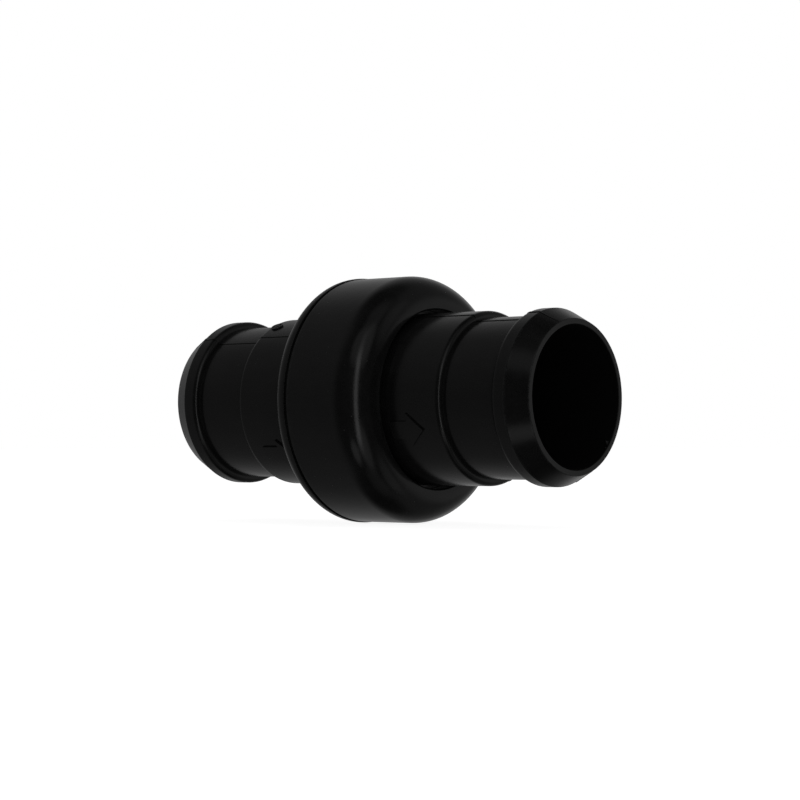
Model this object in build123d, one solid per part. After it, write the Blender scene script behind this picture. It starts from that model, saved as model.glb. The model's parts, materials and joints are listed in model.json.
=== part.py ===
from build123d import *
import math
import os

# Swivelling in-line hose check valve.  Millimetres, +Z up, +X along the flow.
# The origin lies on the flow axis, midway between the two hose-tail end faces.
# Water enters at -X, lifts the poppet off its seat and leaves at +X.

# ---------------------------------------------------------------- hose tails
HALF_LENGTH = 31.1        # origin to either end face
BORE_R = 9.3              # clear bore of both hose tails
FACE_WALL = 0.75          # wall at the thin end face
NECK_WALL = 1.3           # wall of the neck under the hose
TUBE_WALL = 2.2           # wall of the plain tube between neck and housing
BARB_WALL = 2.2           # wall at the barb's land
BARB_LAND = 2.25          # length of the barb's land
BARB_LEAD = 2.85          # length of the barb's lead-in
NECK_LENGTH = 8.1         # from the barb's rear face to the step

# ---------------------------------------------------------------- housing
CUP_WALL = 1.6            # wall of the housing cup
MOUTH_GAP = 0.5           # open running gap round the outlet tube
MOUTH_EDGE = 0.25         # round of the mouth's edge
MOUTH_LAND = 0.05         # flat left between the nose's round and that edge
FLANGE_T = 2.8            # thickness of the inlet flange
FLANGE_PROUD = 0.1        # how far the flange stands out past the cup
JOINT_W = 0.34            # width of the groove at the joint line
JOINT_DEPTH = 0.4         # its depth
RIM_ROUND = 2.2           # round of the flange's outer edge

# ---------------------------------------------------------------- ball race
BALL_X = 4.2              # plane of the ball centres
BALL_R = 1.5875           # 1/8 in balls
BALL_SPACE = 0.03         # least gap between two balls
COLLAR_RISE = 1.4         # height of the outlet tail's collar above its tube
COLLAR_LIP = 0.37         # land left beside the inner race groove
RACE_SHOW = 0.5           # pitch circle above the collar
SPIGOT_STEP = 0.5         # tube radius less the seal spigot's
SPIGOT_LENGTH = 2.9       # seal spigot behind the collar
PASSAGE_STEP = 0.3        # wider passage inside the spigot, round the stem

# ---------------------------------------------------------------- inner stack
WASHER_T = 0.7            # thrust washer
CARRIER_T = 2.7           # seal carrier
INLET_SPIGOT = 2.8        # inlet spigot that snaps into the cup
CHAMBER_STEP = 0.7        # counterbore of the inlet tail beyond its bore
SEAT_BODY = 2.5           # thickness of the seat ring
SEAT_LIP = 0.4            # height of the sealing lip
SEAT_R = 5.6              # opening through the seat
SEAT_LEAD = 0.9           # chamfer on the seat's inlet side
CAGE_WALL = 0.75
RIB_COUNT = 4
RIB_WIDTH = 1.4
RIB_DEPTH = 1.6
HUB_R = 3.4
HUB_LENGTH = 4.3
CAGE_FLANGE = 2.5         # how far the cage's flange stands out from its sleeve
CAGE_FLANGE_T = 1.2

# ---------------------------------------------------------------- poppet
LIFT = 3.25               # travel of the poppet
POPPET_LAP = 1.2          # poppet radius beyond the seat's opening
POCKET_RIM = 0.4          # rim round the soft washer
DISC_T = 1.4
SEAL_T = 1.2
STEM_R = 2.0
BOSS_R = 3.2
BOSS_LENGTH = 0.66
BUSH_WALL = 0.85
BUSH_HEAD = 0.3
RETAINER_EASE = 0.7       # seat opening less the retainer's radius
RETAINER_T = 0.8
SCREW_R = 1.0
SCREW_DEPTH = 5.5
HEAD_R = 2.0
HEAD_T = 1.3
RECESS = 0.45             # width and depth of the screw's cross recess
CLIP_R = 3.2
CLIP_T = 0.5
CLIP_BED = 0.4            # depth of the clip's groove
CLIP_LEAD = 0.15          # clip to the guide cage when the valve is shut
STEM_TAIL = 0.9           # stem beyond the clip
STEM_LEAD = 0.4           # chamfer on the stem's end

# ---------------------------------------------------------------- spring
WIRE_R = 0.275
SPRING_R = 4.2            # mean radius of the coils
COILS = 5.5

# ---------------------------------------------------------------- seals
SEAL_R = 0.69             # section radius of the two seals on the carrier
BODY_SEAL_R = 0.51        # section radius of the body and seat seals
GROOVE_EASE = 0.1         # groove beyond the seal's section, each side
GROOVE_LAND = 0.33        # wall left beside the body seal's groove

# ---------------------------------------------------------------- marks
ARROW_GAP = 0.95          # mouth to the near end of the outlet arrow
ARROW_RISE = 0.25
ARROW_LENGTH = 5.3
ARROW_HEAD = 2.5
ARROW_SHAFT = 2.4
ARROW_SPAN = 4.5
ARROW_DRAFT = 8           # draft of the arrow's sides, degrees
OUTLET_ARROW_DEG = -21.0
INLET_ARROW_DEG = -39.0
OUTLET_PARTING_DEG = 70.0
INLET_PARTING_DEG = 50.0
PARTING_RISE = 0.07
PARTING_WIDTH = 0.24
GATE_DEG = 63.0
GATE_R = 0.85
GATE_RISE = 0.22
GATE_STEP = 1.6           # step to the gate nub's centre
NOTCH_DEG = 47.5
NOTCH = 0.45              # width of the notch in the flange's rim
ROOT = 0.3                # how far raised marks reach into the tube

# ---------------------------------------------------------------- edges
STEP_ROUND = 0.7          # tube's step and barb's rear edge
BARB_ROUND = 0.15         # lead-in's two edges
BORE_ROUND = 0.1          # outlet bore's mouth
FLANGE_FILLET = 0.35      # tube into flange
SNAP_RISE = 0.22          # height of the snap bead
SNAP_LENGTH = 0.65        # far end of the snap bead, from the joint
SNAP_EASE = 0.03          # snap groove beyond the bead

# ---------------------------------------------------------------- clearances
RUN = 0.02                # balls and seals against a moving surface
SLIDE = 0.05              # a piece that slips into a bore of the same body
SPIN = 0.1                # plain turning surfaces
FACE_GAP = 0.02           # stacked faces
TURN_GAP = 0.4            # outlet tail's inner end to the guide cage

# ---------------------------------------------------------------- radii, outwards
FACE_R = BORE_R + FACE_WALL
NECK_R = BORE_R + NECK_WALL
TUBE_R = BORE_R + TUBE_WALL
BARB_R = BORE_R + BARB_WALL
PASSAGE_R = BORE_R + PASSAGE_STEP
SPIGOT_R = TUBE_R - SPIGOT_STEP
MOUTH_R = TUBE_R + MOUTH_GAP
COLLAR_R = TUBE_R + COLLAR_RISE
PITCH_R = COLLAR_R + RACE_SHOW
GROOVE_R = BALL_R + RUN
CUP_BORE_R = PITCH_R + GROOVE_R
CUP_R = CUP_BORE_R + CUP_WALL
SLIP_R = CUP_BORE_R - SLIDE
NOSE_R = CUP_R - MOUTH_R - MOUTH_EDGE - MOUTH_LAND
FLANGE_R = CUP_R + FLANGE_PROUD
CHAMBER_R = BORE_R + CHAMBER_STEP
CAGE_R = CHAMBER_R - SLIDE
CAGE_BORE_R = CAGE_R - CAGE_WALL
CAGE_FLANGE_R = CAGE_R + CAGE_FLANGE
POPPET_R = SEAT_R + POPPET_LAP
RETAINER_R = SEAT_R - RETAINER_EASE
BUSH_BORE_R = STEM_R + SLIDE
BUSH_R = BUSH_BORE_R + BUSH_WALL
CLIP_BED_R = STEM_R - CLIP_BED
SEAL_HALF = SEAL_R + GROOVE_EASE
BODY_SEAL_HALF = BODY_SEAL_R + GROOVE_EASE
BALL_COUNT = int(2 * math.pi * PITCH_R / (2 * BALL_R + BALL_SPACE))

# ---------------------------------------------------------------- places along X
NECK_END = HALF_LENGTH - BARB_LEAD - BARB_LAND
STEP_X = NECK_END - NECK_LENGTH
RACE_HALF = math.sqrt(GROOVE_R ** 2 - RACE_SHOW ** 2)
COLLAR_BACK = BALL_X - RACE_HALF - COLLAR_LIP
COLLAR_FRONT = BALL_X + RACE_HALF + COLLAR_LIP
OUTLET_BACK = COLLAR_BACK - SPIGOT_LENGTH
CUP_FRONT = BALL_X + NOSE_R
CARRIER_FRONT = COLLAR_BACK - SLIDE - WASHER_T - FACE_GAP
CARRIER_BACK = CARRIER_FRONT - CARRIER_T
CARRIER_MID = (CARRIER_BACK + CARRIER_FRONT) / 2
INLET_SPIGOT_END = CARRIER_BACK - FACE_GAP
CUP_BACK = INLET_SPIGOT_END - INLET_SPIGOT
FLANGE_BACK = CUP_BACK - FLANGE_T
BODY_SEAL_X = INLET_SPIGOT_END - GROOVE_LAND - BODY_SEAL_HALF
CAGE_FRONT = OUTLET_BACK - TURN_GAP
RIB_BACK = CAGE_FRONT - RIB_DEPTH
HUB_BACK = CAGE_FRONT - HUB_LENGTH
BUSH_BACK = HUB_BACK - BUSH_HEAD
BOSS_FRONT = BUSH_BACK - LIFT - SLIDE
DISC_FRONT = BOSS_FRONT - BOSS_LENGTH
DISC_BACK = DISC_FRONT - DISC_T
SEAL_BACK = DISC_BACK - FACE_GAP - SEAL_T
LIP_FACE = SEAL_BACK - RUN
SEAT_FACE = LIP_FACE - SEAT_LIP
SEAT_BACK = SEAT_FACE - SEAT_BODY
SEAT_MID = (SEAT_BACK + SEAT_FACE) / 2
SEAT_SHOULDER = SEAT_BACK - FACE_GAP
SCREW_SEAT = SEAL_BACK - 2 * FACE_GAP - RETAINER_T
SCREW_END = SEAL_BACK + SCREW_DEPTH
CLIP_BACK = CAGE_FRONT + CLIP_LEAD
CLIP_FRONT = CLIP_BACK + CLIP_T
STEM_END = CLIP_FRONT + STEM_TAIL
ARROW_START = CUP_FRONT + ARROW_GAP


def turned(corners):
    """Solid of revolution about the flow axis from (x, radius) corners."""
    outline = Polyline(*corners, close=True)
    return revolve(Plane.XZ * make_face(outline), Axis.X)


def drum(x0, x1, radius):
    """Plain cylinder along the flow axis."""
    return turned([(x0, 0), (x1, 0), (x1, radius), (x0, radius)])


def rounded(solid, size, *rims):
    """Round the circular edges that lie at the given (x, radius) places."""
    chosen = []
    for x, radius in rims:
        for edge in solid.edges().filter_by(GeomType.CIRCLE):
            near_x = abs(edge.arc_center.X - x) < 0.005
            if near_x and abs(edge.radius - radius) < 0.005:
                chosen.append(edge)
    return fillet(chosen, size)


def ring(x, radius, section):
    """Round-section ring about the flow axis."""
    return Pos(x, 0, 0) * Rot(0, 90, 0) * Torus(radius, section)


def outward(degrees):
    """Unit vector away from the axis: 0 faces -Y, positive angles go up."""
    angle = math.radians(degrees)
    return Vector(0, -math.cos(angle), math.sin(angle))


def face_plane(x, radius, degrees):
    """Plane tangent to a tube of the given radius, X along the flow."""
    direction = outward(degrees)
    spot = Vector(x, 0, 0) + direction * radius
    return Plane(origin=spot, x_dir=(1, 0, 0), z_dir=direction)


def flow_arrow(start, degrees):
    """Raised arrow that points along +X and follows the tube's curve."""
    neck = start + ARROW_LENGTH - ARROW_HEAD
    tip = start + ARROW_LENGTH
    half_shaft = ARROW_SHAFT / 2
    half_span = ARROW_SPAN / 2
    outline = Polyline(
        (start, -half_shaft),
        (neck, -half_shaft),
        (neck, -half_span),
        (tip, 0),
        (neck, half_span),
        (neck, half_shaft),
        (start, half_shaft),
        close=True,
    )
    base = face_plane(0, TUBE_R - 2 * ROOT, degrees)
    prism = extrude(base * make_face(outline), 3 * ROOT + ARROW_RISE, taper=ARROW_DRAFT)
    low = TUBE_R - ROOT
    high = TUBE_R + ARROW_RISE
    skin = turned([(start - 1, low), (tip + 1, low), (tip + 1, high), (start - 1, high)])
    return prism & skin


def parting_rib(x0, x1, radius, degrees):
    """Fine raised line along a tube where the mould halves met."""
    height = ROOT + PARTING_RISE
    spot = face_plane((x0 + x1) / 2, radius - ROOT + height / 2, degrees)
    return spot * Box(x1 - x0, PARTING_WIDTH, height)


def parting_lines(x0, x1, radius, degrees):
    """The two opposite parting lines of one moulded tube."""
    near = parting_rib(x0, x1, radius, degrees)
    far = parting_rib(x0, x1, radius, degrees + 180)
    return [near, far]


def tail_profile(inner):
    """Outer corners of a hose tail on the +X side, from tube to end face."""
    return inner + [
        (STEP_X, TUBE_R),
        (STEP_X, NECK_R),
        (NECK_END, NECK_R),
        (NECK_END, BARB_R),
        (NECK_END + BARB_LAND, BARB_R),
        (HALF_LENGTH, FACE_R),
        (HALF_LENGTH, BORE_R),
    ]


def mirrored(corners):
    """The same corners on the -X side, in the opposite order."""
    return [(-x, radius) for x, radius in reversed(corners)]


def inlet_tail():
    """Inlet hose tail with flange, seal groove, snap bead and valve chamber."""
    floor = CUP_BORE_R - FACE_GAP - 2 * BODY_SEAL_R
    recess_r = CAGE_FLANGE_R + SLIDE
    recess_x = INLET_SPIGOT_END - CAGE_FLANGE_T
    body = turned(
        mirrored(tail_profile([]))
        + [
            (FLANGE_BACK, TUBE_R),
            (FLANGE_BACK, FLANGE_R),
            (CUP_BACK - JOINT_W, FLANGE_R),
            (CUP_BACK - JOINT_W, FLANGE_R - JOINT_DEPTH),
            (CUP_BACK, FLANGE_R - JOINT_DEPTH),
            (CUP_BACK, SLIP_R),
            (BODY_SEAL_X - BODY_SEAL_HALF, SLIP_R),
            (BODY_SEAL_X - BODY_SEAL_HALF, floor),
            (BODY_SEAL_X + BODY_SEAL_HALF, floor),
            (BODY_SEAL_X + BODY_SEAL_HALF, SLIP_R),
            (INLET_SPIGOT_END, SLIP_R),
            (INLET_SPIGOT_END, recess_r),
            (recess_x, recess_r),
            (recess_x, CHAMBER_R),
            (SEAT_SHOULDER, CHAMBER_R),
            (SEAT_SHOULDER, BORE_R),
        ]
    )
    body = rounded(body, STEP_ROUND, (-STEP_X, TUBE_R), (-NECK_END, BARB_R))
    body = rounded(body, BARB_ROUND, (-NECK_END - BARB_LAND, BARB_R), (-HALF_LENGTH, FACE_R))
    body = rounded(body, RIM_ROUND, (FLANGE_BACK, FLANGE_R))
    body = rounded(body, FLANGE_FILLET, (FLANGE_BACK, TUBE_R))
    body += snap_ring(SLIP_R - ROOT, 0)
    for rib in parting_lines(-STEP_X, FLANGE_BACK + ROOT, TUBE_R, INLET_PARTING_DEG):
        body += rib
    for rib in parting_lines(-NECK_END, -STEP_X, NECK_R, INLET_PARTING_DEG):
        body += rib
    body += flow_arrow(-ARROW_START - ARROW_LENGTH, INLET_ARROW_DEG)
    gate_plane = face_plane(-STEP_X + GATE_STEP, TUBE_R, GATE_DEG)
    body += gate_plane * Cylinder(GATE_R, 2 * GATE_RISE)
    inset = RIM_ROUND * (1 - math.sqrt(0.5))
    notch_plane = face_plane(FLANGE_BACK + inset, FLANGE_R - inset, NOTCH_DEG)
    return body - notch_plane * Box(2 * NOTCH, NOTCH, NOTCH)


def snap_ring(inner, ease):
    """Bead on the inlet spigot, or with some ease the groove that takes it."""
    back = CUP_BACK + SLIDE - ease
    front = CUP_BACK + SNAP_LENGTH + ease
    crest = SLIP_R + SNAP_RISE + ease
    return turned(
        [
            (back, inner),
            (front, inner),
            (front, SLIP_R),
            (front - SNAP_LENGTH / 2, crest),
            (back, crest),
        ]
    )


def outlet_tail():
    """Outlet hose tail that turns in the housing, with the inner ball race."""
    body = turned(
        tail_profile(
            [
                (COLLAR_FRONT, BORE_R),
                (COLLAR_FRONT, PASSAGE_R),
                (OUTLET_BACK, PASSAGE_R),
                (OUTLET_BACK, SPIGOT_R - ROOT),
                (OUTLET_BACK + ROOT, SPIGOT_R),
                (COLLAR_BACK, SPIGOT_R),
                (COLLAR_BACK, COLLAR_R),
                (COLLAR_FRONT, COLLAR_R),
                (COLLAR_FRONT, TUBE_R),
            ]
        )
    )
    body = rounded(body, STEP_ROUND, (STEP_X, TUBE_R), (NECK_END, BARB_R))
    body = rounded(body, BARB_ROUND, (NECK_END + BARB_LAND, BARB_R), (HALF_LENGTH, FACE_R))
    body = rounded(body, BORE_ROUND, (HALF_LENGTH, BORE_R))
    body -= ring(BALL_X, PITCH_R, GROOVE_R)
    for rib in parting_lines(COLLAR_FRONT, STEP_X, TUBE_R, OUTLET_PARTING_DEG):
        body += rib
    for rib in parting_lines(STEP_X, NECK_END, NECK_R, OUTLET_PARTING_DEG):
        body += rib
    return body + flow_arrow(ARROW_START, OUTLET_ARROW_DEG)


def housing_cup():
    """Round-nosed housing that holds the outer race and the seal stack."""
    back = CUP_BACK + FACE_GAP
    relief_x = COLLAR_FRONT + SPIN
    relief_r = COLLAR_R + SPIN
    body = turned(
        [
            (back, CUP_BORE_R),
            (back, CUP_R),
            (CUP_FRONT, CUP_R),
            (CUP_FRONT, MOUTH_R),
            (relief_x, MOUTH_R),
            (relief_x, relief_r),
            (BALL_X, relief_r),
            (BALL_X, CUP_BORE_R),
        ]
    )
    body = rounded(body, NOSE_R, (CUP_FRONT, CUP_R))
    body = rounded(body, MOUTH_EDGE, (CUP_FRONT, MOUTH_R))
    body -= ring(BALL_X, PITCH_R, GROOVE_R)
    return body - snap_ring(CUP_BORE_R - ROOT, SNAP_EASE)


def body_seal():
    """O-ring between the inlet spigot and the cup."""
    centre = CUP_BORE_R - FACE_GAP / 2 - BODY_SEAL_R
    return ring(BODY_SEAL_X, centre, BODY_SEAL_R - FACE_GAP / 4)


def race_ring():
    """Back half of the outer ball race."""
    back = CARRIER_FRONT + FACE_GAP
    front = BALL_X - RACE_SHOW
    inner = COLLAR_R + SPIN + SLIDE
    blank = turned([(back, inner), (front, inner), (front, SLIP_R), (back, SLIP_R)])
    return blank - ring(BALL_X, PITCH_R, GROOVE_R)


def race_balls():
    """Full complement of loose balls, one solid each."""
    balls = []
    for index in range(BALL_COUNT):
        direction = outward(index * 360 / BALL_COUNT)
        spot = Vector(BALL_X, 0, 0) + direction * PITCH_R
        balls.append(Pos(*spot) * Sphere(BALL_R))
    return Compound(children=balls)


def seal_carrier():
    """Ring that carries the turning seal inside and a fixed seal outside."""
    inner = SPIGOT_R + SPIN
    inner_floor = SPIGOT_R + RUN + 2 * SEAL_R + FACE_GAP
    outer_floor = CUP_BORE_R - FACE_GAP - 2 * SEAL_R
    return turned(
        [
            (CARRIER_BACK, inner),
            (CARRIER_BACK, SLIP_R),
            (CARRIER_MID - SEAL_HALF, SLIP_R),
            (CARRIER_MID - SEAL_HALF, outer_floor),
            (CARRIER_MID + SEAL_HALF, outer_floor),
            (CARRIER_MID + SEAL_HALF, SLIP_R),
            (CARRIER_FRONT, SLIP_R),
            (CARRIER_FRONT, inner),
            (CARRIER_MID + SEAL_HALF, inner),
            (CARRIER_MID + SEAL_HALF, inner_floor),
            (CARRIER_MID - SEAL_HALF, inner_floor),
            (CARRIER_MID - SEAL_HALF, inner),
        ]
    )


def swivel_seal():
    """O-ring that runs on the turning spigot."""
    return ring(CARRIER_MID, SPIGOT_R + RUN + SEAL_R, SEAL_R)


def carrier_seal():
    """Fixed O-ring between carrier and cup."""
    return ring(CARRIER_MID, CUP_BORE_R - FACE_GAP / 2 - SEAL_R, SEAL_R - FACE_GAP / 4)


def thrust_washer():
    """Slippery washer between the carrier and the turning collar."""
    back = CARRIER_FRONT + FACE_GAP
    front = back + WASHER_T
    inner = SPIGOT_R + SPIN
    return turned([(back, inner), (front, inner), (front, COLLAR_R), (back, COLLAR_R)])


def seat_ring():
    """Valve seat with a raised sealing lip and a groove for its O-ring."""
    floor = CHAMBER_R - FACE_GAP - 2 * BODY_SEAL_R
    return turned(
        [
            (SEAT_BACK, SEAT_R + SEAT_LEAD),
            (SEAT_BACK, CAGE_R),
            (SEAT_MID - BODY_SEAL_HALF, CAGE_R),
            (SEAT_MID - BODY_SEAL_HALF, floor),
            (SEAT_MID + BODY_SEAL_HALF, floor),
            (SEAT_MID + BODY_SEAL_HALF, CAGE_R),
            (SEAT_FACE, CAGE_R),
            (SEAT_FACE, SEAT_R + 2 * SEAT_LIP),
            (LIP_FACE, SEAT_R + SEAT_LIP),
            (LIP_FACE, SEAT_R),
            (SEAT_BACK + SEAT_LEAD, SEAT_R),
        ]
    )


def seat_ring_seal():
    """O-ring round the seat ring."""
    centre = CHAMBER_R - FACE_GAP / 2 - BODY_SEAL_R
    return ring(SEAT_MID, centre, BODY_SEAL_R - FACE_GAP / 4)


def guide_cage():
    """Sleeve that clamps the seat ring, with a ribbed hub for the stem."""
    flange_front = INLET_SPIGOT_END - FACE_GAP
    flange_back = flange_front - CAGE_FLANGE_T + 2 * FACE_GAP
    body = turned(
        [
            (SEAT_FACE + FACE_GAP, CAGE_BORE_R),
            (SEAT_FACE + FACE_GAP, CAGE_R),
            (flange_back, CAGE_R),
            (flange_back, CAGE_FLANGE_R),
            (flange_front, CAGE_FLANGE_R),
            (flange_front, CAGE_R),
            (CAGE_FRONT, CAGE_R),
            (CAGE_FRONT, CAGE_BORE_R),
        ]
    )
    body += drum(HUB_BACK, CAGE_FRONT, HUB_R)
    reach = CAGE_BORE_R + CAGE_WALL / 2
    middle = (RIB_BACK + CAGE_FRONT) / 2
    for index in range(RIB_COUNT):
        degrees = 45 + index * 360 / RIB_COUNT
        body += face_plane(middle, reach / 2, degrees) * Box(RIB_DEPTH, RIB_WIDTH, reach)
    return body - drum(HUB_BACK - ROOT, CAGE_FRONT + ROOT, BUSH_R + FACE_GAP)


def guide_bush():
    """Flanged bush in the cage's hub; its head is the poppet's open stop."""
    return turned(
        [
            (BUSH_BACK, BUSH_BORE_R),
            (BUSH_BACK, HUB_R),
            (HUB_BACK - FACE_GAP, HUB_R),
            (HUB_BACK - FACE_GAP, BUSH_R),
            (CAGE_FRONT, BUSH_R),
            (CAGE_FRONT, BUSH_BORE_R),
        ]
    )


def poppet():
    """Valve disc with a seal pocket, a spring boss and a guided stem."""
    spigot_x = SEAL_BACK + FACE_GAP
    pocket_r = POPPET_R - POCKET_RIM
    pocket_x = DISC_BACK - SEAL_T / 2
    body = turned(
        [
            (spigot_x, 0),
            (spigot_x, BUSH_BORE_R),
            (DISC_BACK, BUSH_BORE_R),
            (DISC_BACK, pocket_r),
            (pocket_x, pocket_r),
            (pocket_x, POPPET_R),
            (DISC_FRONT - POCKET_RIM, POPPET_R),
            (DISC_FRONT, POPPET_R - 2 * POCKET_RIM),
            (DISC_FRONT, BOSS_R),
            (BOSS_FRONT, BOSS_R),
            (BOSS_FRONT, STEM_R),
            (CLIP_BACK - FACE_GAP, STEM_R),
            (CLIP_BACK - FACE_GAP, CLIP_BED_R),
            (CLIP_FRONT + FACE_GAP, CLIP_BED_R),
            (CLIP_FRONT + FACE_GAP, STEM_R),
            (STEM_END - STEM_LEAD, STEM_R),
            (STEM_END, STEM_R - STEM_LEAD),
            (STEM_END, 0),
        ]
    )
    return body - drum(spigot_x - ROOT, SCREW_END + FACE_GAP, SCREW_R + FACE_GAP)


def poppet_seal():
    """Soft washer that closes on the seat's lip."""
    inner = BUSH_BORE_R + SLIDE
    outer = POPPET_R - POCKET_RIM - SLIDE
    front = SEAL_BACK + SEAL_T
    return turned([(SEAL_BACK, inner), (front, inner), (front, outer), (SEAL_BACK, outer)])


def seal_retainer():
    """Plate that clamps the soft washer."""
    front = SEAL_BACK - FACE_GAP
    back = front - RETAINER_T
    inner = SCREW_R + SLIDE
    return turned(
        [
            (back, inner),
            (front, inner),
            (front, RETAINER_R),
            (front - RETAINER_T / 3, RETAINER_R),
            (back, RETAINER_R - RETAINER_T),
        ]
    )


def retainer_screw():
    """Pan-head screw through the retainer into the stem, with a cross recess."""
    top = SCREW_SEAT - HEAD_T
    head = turned(
        [
            (top, 0),
            (top, HEAD_R - HEAD_T / 2),
            (top + HEAD_T / 2, HEAD_R),
            (SCREW_SEAT, HEAD_R),
            (SCREW_SEAT, SCREW_R),
            (SCREW_END - STEM_LEAD, SCREW_R),
            (SCREW_END, SCREW_R - STEM_LEAD),
            (SCREW_END, 0),
        ]
    )
    depth = 2 * RECESS
    span = 1.1 * HEAD_R
    cross = Box(depth, span, RECESS) + Box(depth, RECESS, span)
    return head - Pos(top, 0, 0) * cross


def stem_clip():
    """Open clip that keeps the stem in the guide cage."""
    inner = CLIP_BED_R + FACE_GAP
    blank = turned(
        [(CLIP_BACK, inner), (CLIP_FRONT, inner), (CLIP_FRONT, CLIP_R), (CLIP_BACK, CLIP_R)]
    )
    mouth = Box(4 * CLIP_T, 1.6 * inner, 2 * CLIP_R)
    return blank - Pos(CLIP_BACK, 0, -CLIP_R) * mouth


def return_spring():
    """Compression spring between the poppet's disc and the cage's ribs."""
    start = DISC_FRONT + FACE_GAP + WIRE_R
    height = RIB_BACK - FACE_GAP - WIRE_R - start
    path = Helix(height / COILS, height, SPRING_R, center=(start, 0, 0), direction=(1, 0, 0))
    section = Plane(origin=path @ 0, z_dir=path % 0) * Circle(WIRE_R)
    return sweep(section, path=path, is_frenet=True)


NODES = {
    "housing_cup": housing_cup,
    "inlet_tail": inlet_tail,
    "outlet_tail": outlet_tail,
    "body_seal": body_seal,
    "race_ring": race_ring,
    "race_balls": race_balls,
    "seal_carrier": seal_carrier,
    "swivel_seal": swivel_seal,
    "carrier_seal": carrier_seal,
    "thrust_washer": thrust_washer,
    "seat_ring": seat_ring,
    "seat_ring_seal": seat_ring_seal,
    "guide_cage": guide_cage,
    "guide_bush": guide_bush,
    "poppet": poppet,
    "poppet_seal": poppet_seal,
    "seal_retainer": seal_retainer,
    "retainer_screw": retainer_screw,
    "stem_clip": stem_clip,
    "return_spring": return_spring,
}

os.makedirs("parts", exist_ok=True)
for name, build in NODES.items():
    export_step(build(), f"parts/{name}.step")
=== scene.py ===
"""Looks of a swivelling in-line hose check valve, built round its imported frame.

Lengths are given in millimetres and turned into metres where a mesh is made. The flow runs
along +X: water enters the inlet tail at -X and leaves the turning outlet tail at +X.
"""

import json
import logging
import math
from dataclasses import dataclass, field, replace
from enum import Enum
from typing import Dict, List, Optional, Sequence, Tuple, Union

import bpy
from mathutils import Matrix, Vector


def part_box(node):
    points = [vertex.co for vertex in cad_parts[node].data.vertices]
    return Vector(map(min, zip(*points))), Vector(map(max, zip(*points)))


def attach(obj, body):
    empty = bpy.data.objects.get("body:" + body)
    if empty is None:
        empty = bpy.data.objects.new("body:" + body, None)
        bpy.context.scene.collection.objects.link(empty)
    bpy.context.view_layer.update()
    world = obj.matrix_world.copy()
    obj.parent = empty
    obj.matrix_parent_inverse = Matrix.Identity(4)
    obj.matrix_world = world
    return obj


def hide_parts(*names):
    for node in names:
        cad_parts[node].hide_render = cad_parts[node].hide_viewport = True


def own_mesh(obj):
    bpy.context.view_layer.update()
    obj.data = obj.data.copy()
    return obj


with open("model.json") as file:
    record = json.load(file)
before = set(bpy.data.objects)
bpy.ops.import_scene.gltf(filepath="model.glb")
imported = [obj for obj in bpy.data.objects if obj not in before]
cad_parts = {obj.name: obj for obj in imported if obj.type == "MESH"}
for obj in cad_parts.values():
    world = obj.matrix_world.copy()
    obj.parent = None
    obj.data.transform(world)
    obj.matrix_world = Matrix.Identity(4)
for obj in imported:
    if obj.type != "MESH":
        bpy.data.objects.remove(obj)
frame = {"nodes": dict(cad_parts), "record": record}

MM = 0.001
TURN = 2 * math.pi
ARROW_GAP = 0.95  # mouth of the housing to the near end of a flow arrow, mm
Point = Tuple[float, float]
Number = Union[float, "Wire"]

log = logging.getLogger("check_valve")


# ------------------------------------------------------------------ sizes


def radius_of(node: str) -> float:
    """Largest radius of a frame node about the flow axis, in millimetres."""
    low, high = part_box(node)
    return max(high.z, -low.z, high.y, -low.y) / MM


def reach_of(node: str) -> Point:
    """Lowest and highest X of a frame node, in millimetres."""
    low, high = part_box(node)
    return low.x / MM, high.x / MM


def mount_radius(name: str) -> float:
    """Radius that the record states for one of its round mounts, in millimetres."""
    for mount in frame["record"]["mounts"]:
        if mount["name"] == name:
            return mount["dims"]["r_mm"]
    raise KeyError(name)


@dataclass(frozen=True)
class HoseTail:
    """Sizes that both hose tails share, in millimetres.

    Args:
        end: distance from the origin to the end face.
        bore: radius of the clear bore.
        neck: radius of the neck under the hose.
        barb: radius of the barb's land, and of the plain tube.
    """

    end: float
    bore: float
    neck: float
    barb: float
    face_wall: float = 0.75
    land: float = 2.25
    lead: float = 2.85
    neck_length: float = 8.1
    step_round: float = 0.7
    barb_round: float = 0.15
    face_round: float = 0.12

    @property
    def face(self) -> float:
        """Outer radius of the thin end face."""
        return self.bore + self.face_wall

    @property
    def neck_end(self) -> float:
        """X of the barb's rear face."""
        return self.end - self.lead - self.land

    @property
    def step(self) -> float:
        """X of the step from tube down to neck."""
        return self.neck_end - self.neck_length


@dataclass(frozen=True)
class Corner:
    """One corner of a turned outline: its X, its radius and how much it is rounded."""

    x: float
    r: float
    round: float = 0.0


# ------------------------------------------------------------------ modelling by hand


class Cut(Enum):
    """Ways one solid works on another."""

    JOIN = "UNION"
    TAKE = "DIFFERENCE"
    KEEP = "INTERSECT"


def clear() -> None:
    """Leaves edit mode and deselects everything."""
    if bpy.context.object and bpy.context.object.mode != "OBJECT":
        bpy.ops.object.mode_set(mode="OBJECT")
    bpy.ops.object.select_all(action="DESELECT")


def choose(piece: bpy.types.Object) -> None:
    """Makes one object the only selected and the active one."""
    clear()
    piece.select_set(True)
    bpy.context.view_layer.objects.active = piece


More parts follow.
